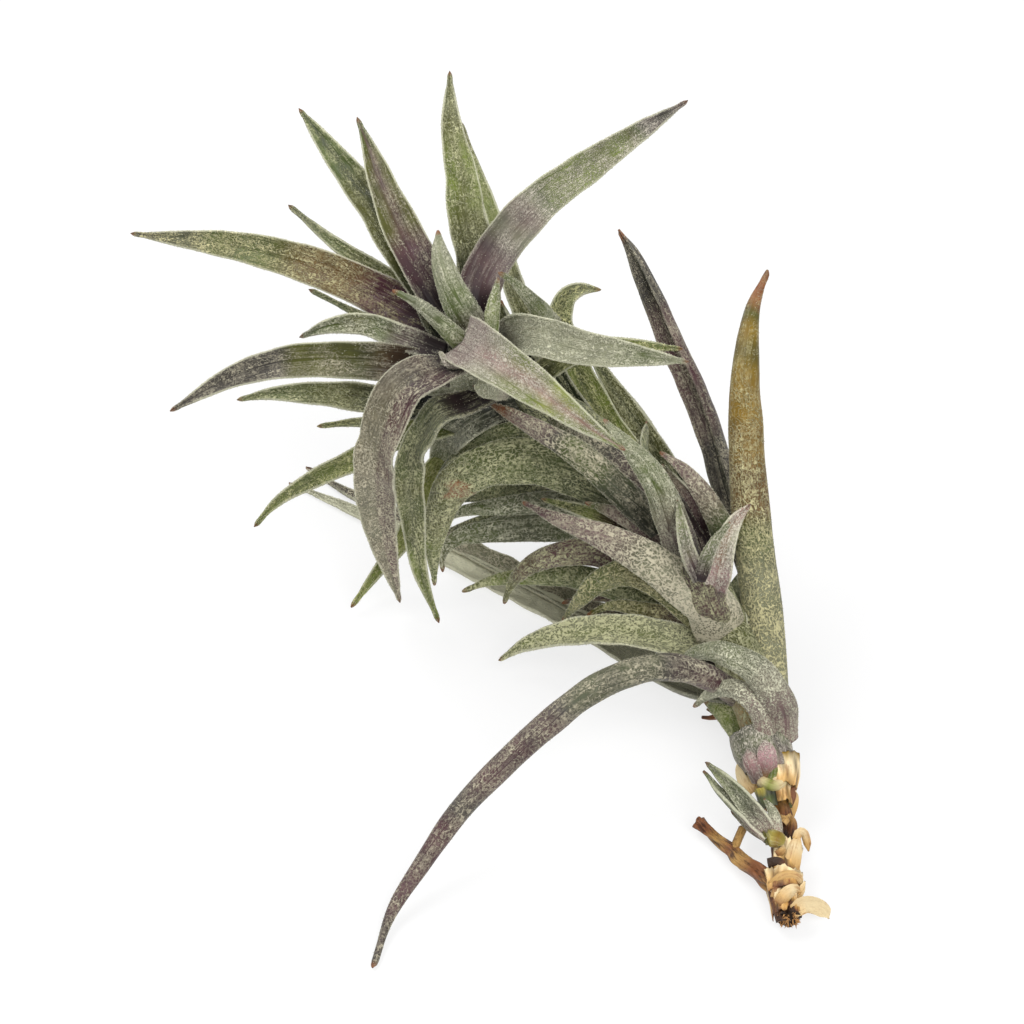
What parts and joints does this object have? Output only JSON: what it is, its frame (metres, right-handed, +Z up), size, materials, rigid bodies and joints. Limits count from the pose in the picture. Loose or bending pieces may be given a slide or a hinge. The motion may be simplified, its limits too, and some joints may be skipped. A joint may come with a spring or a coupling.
{
  "type": "air plant",
  "caption": "Stemmed air plant lying on a surface: a cut woody stub, a leafy stem rising to a crown of recurved scaly leaves, a side shoot and a small offshoot.",
  "frame": {"origin": "centre of the plant's footprint on the surface it lies on", "axes": "+Z up from the surface, the cut stub at -Y and the crown's upper leaves at +Y"},
  "size_m": [0.1297, 0.1739, 0.0784],
  "materials": {
    "leaf_green": "matte, covered with fine silvery scales",
    "leaf_olive": "matte, covered with fine silvery scales",
    "leaf_bright": "matte, covered with fine silvery scales",
    "leaf_purple": "matte, covered with fine silvery scales",
    "leaf_maroon": "matte, covered with fine silvery scales",
    "leaf_silver": "matte, covered with fine silvery scales",
    "leaf_grey": "matte, covered with fine silvery scales",
    "leaf_rose": "matte, covered with fine silvery scales",
    "leaf_tan": "matte, covered with fine silvery scales",
    "woody_stem": "weathered dry stem",
    "dry_sheath": "papery dry sheath"
  },
  "bodies": {
    "root": {"stem": "woody_stem", "base_bracts": "leaf_rose", "dry_sheath_upper": "dry_sheath", "dry_sheath_lower": "dry_sheath", "pup": "leaf_silver", "old_leaf_upright": "leaf_olive", "old_leaf_leaning": "leaf_purple", "old_leaf_arching_down": "leaf_purple", "lower_leaf_broad": "leaf_purple", "lower_leaf_arched": "leaf_olive", "lower_leaf_arched_behind": "leaf_green", "lower_leaf_slim": "leaf_green", "lower_leaf_folded": "leaf_green", "lower_leaf_narrow": "leaf_olive", "lower_leaf_clasping": "leaf_silver", "lower_leaf_small_hook": "leaf_silver", "lower_leaf_left_bract": "leaf_green", "shoot_leaf_left_tan": "leaf_tan", "shoot_leaf_left_broad": "leaf_purple", "shoot_leaf_up": "leaf_silver", "shoot_leaf_up_right": "leaf_purple", "shoot_leaf_inner_purple": "leaf_maroon", "shoot_leaf_folded": "leaf_rose", "shoot_leaf_low_purple": "leaf_purple", "shoot_leaf_low_green": "leaf_bright", "shoot_heart": "leaf_rose", "crown_leaf_left": "leaf_olive", "crown_leaf_up_left": "leaf_green", "crown_leaf_upper": "leaf_purple", "crown_leaf_behind_left": "leaf_green", "crown_leaf_low_hook": "leaf_grey", "crown_leaf_long_hook": "leaf_purple", "crown_leaf_under_hook": "leaf_green", "crown_leaf_hanging_left": "leaf_purple", "crown_leaf_hanging_middle": "leaf_green", "crown_leaf_hanging_right": "leaf_grey", "crown_leaf_pale_base": "leaf_silver", "crown_leaf_low_left": "leaf_bright", "crown_leaf_low_front": "leaf_bright", "crown_leaf_upright": "leaf_green", "crown_leaf_upper_right": "leaf_rose", "crown_leaf_right": "leaf_silver", "crown_leaf_right_behind": "leaf_bright", "crown_leaf_front_right": "leaf_rose", "crown_leaf_small_right": "leaf_silver", "crown_heart": "leaf_silver", "stem_leaf_longest": "leaf_green", "stem_leaf_hooked": "leaf_bright", "stem_leaf_straight": "leaf_green", "stem_leaf_outer": "leaf_grey", "stem_leaf_arched": "leaf_green", "stem_leaf_arched_behind": "leaf_green", "stem_leaf_shaded": "leaf_green", "stem_leaf_level": "leaf_grey", "stem_leaf_low_arch": "leaf_grey", "ground_leaf_front": "leaf_silver", "ground_leaf_back": "leaf_purple", "under_leaf_right": "leaf_grey", "under_leaf_back": "leaf_grey", "under_leaf_low": "leaf_grey"}
  },
  "joints": []
}
